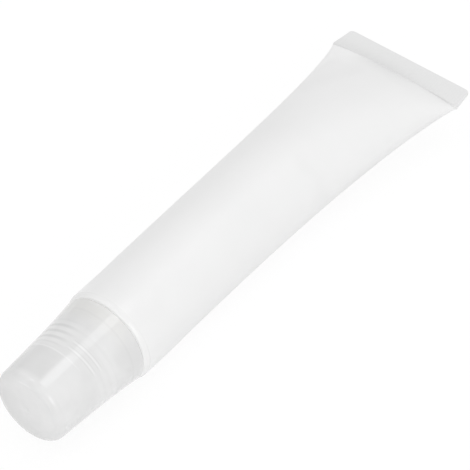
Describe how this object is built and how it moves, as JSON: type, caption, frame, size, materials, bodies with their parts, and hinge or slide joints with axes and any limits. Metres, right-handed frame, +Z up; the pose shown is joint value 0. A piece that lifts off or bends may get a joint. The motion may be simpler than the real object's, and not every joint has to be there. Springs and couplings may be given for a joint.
{
  "type": "wig adhesive tube",
  "caption": "Frosted squeeze tube of white adhesive with a flat welded end and a clear tapered screw cap, lying on its side.",
  "frame": {"origin": "on the ground, under the centre of the tube's overall box", "axes": "+X along the tube's axis from the cap towards the flat weld, +Z up, +Y across the weld"},
  "size_m": [0.1142, 0.0298, 0.019],
  "materials": {
    "frosted_sleeve": "frosted natural polyethylene, satin",
    "moulded_head": "natural polyethylene, satin",
    "clear_cap": "clear polypropylene, glossy",
    "white_adhesive": "white paste"
  },
  "bodies": {
    "tube": {"sleeve": "frosted_sleeve", "head": "moulded_head", "adhesive": "white_adhesive"},
    "cap": {"cap": "clear_cap"}
  },
  "joints": [
    {"name": "cap_unscrew", "type": "slide", "parent": "tube", "child": "cap", "axis": [-1, 0, 0], "range_m": [0, 0.018]}
  ]
}
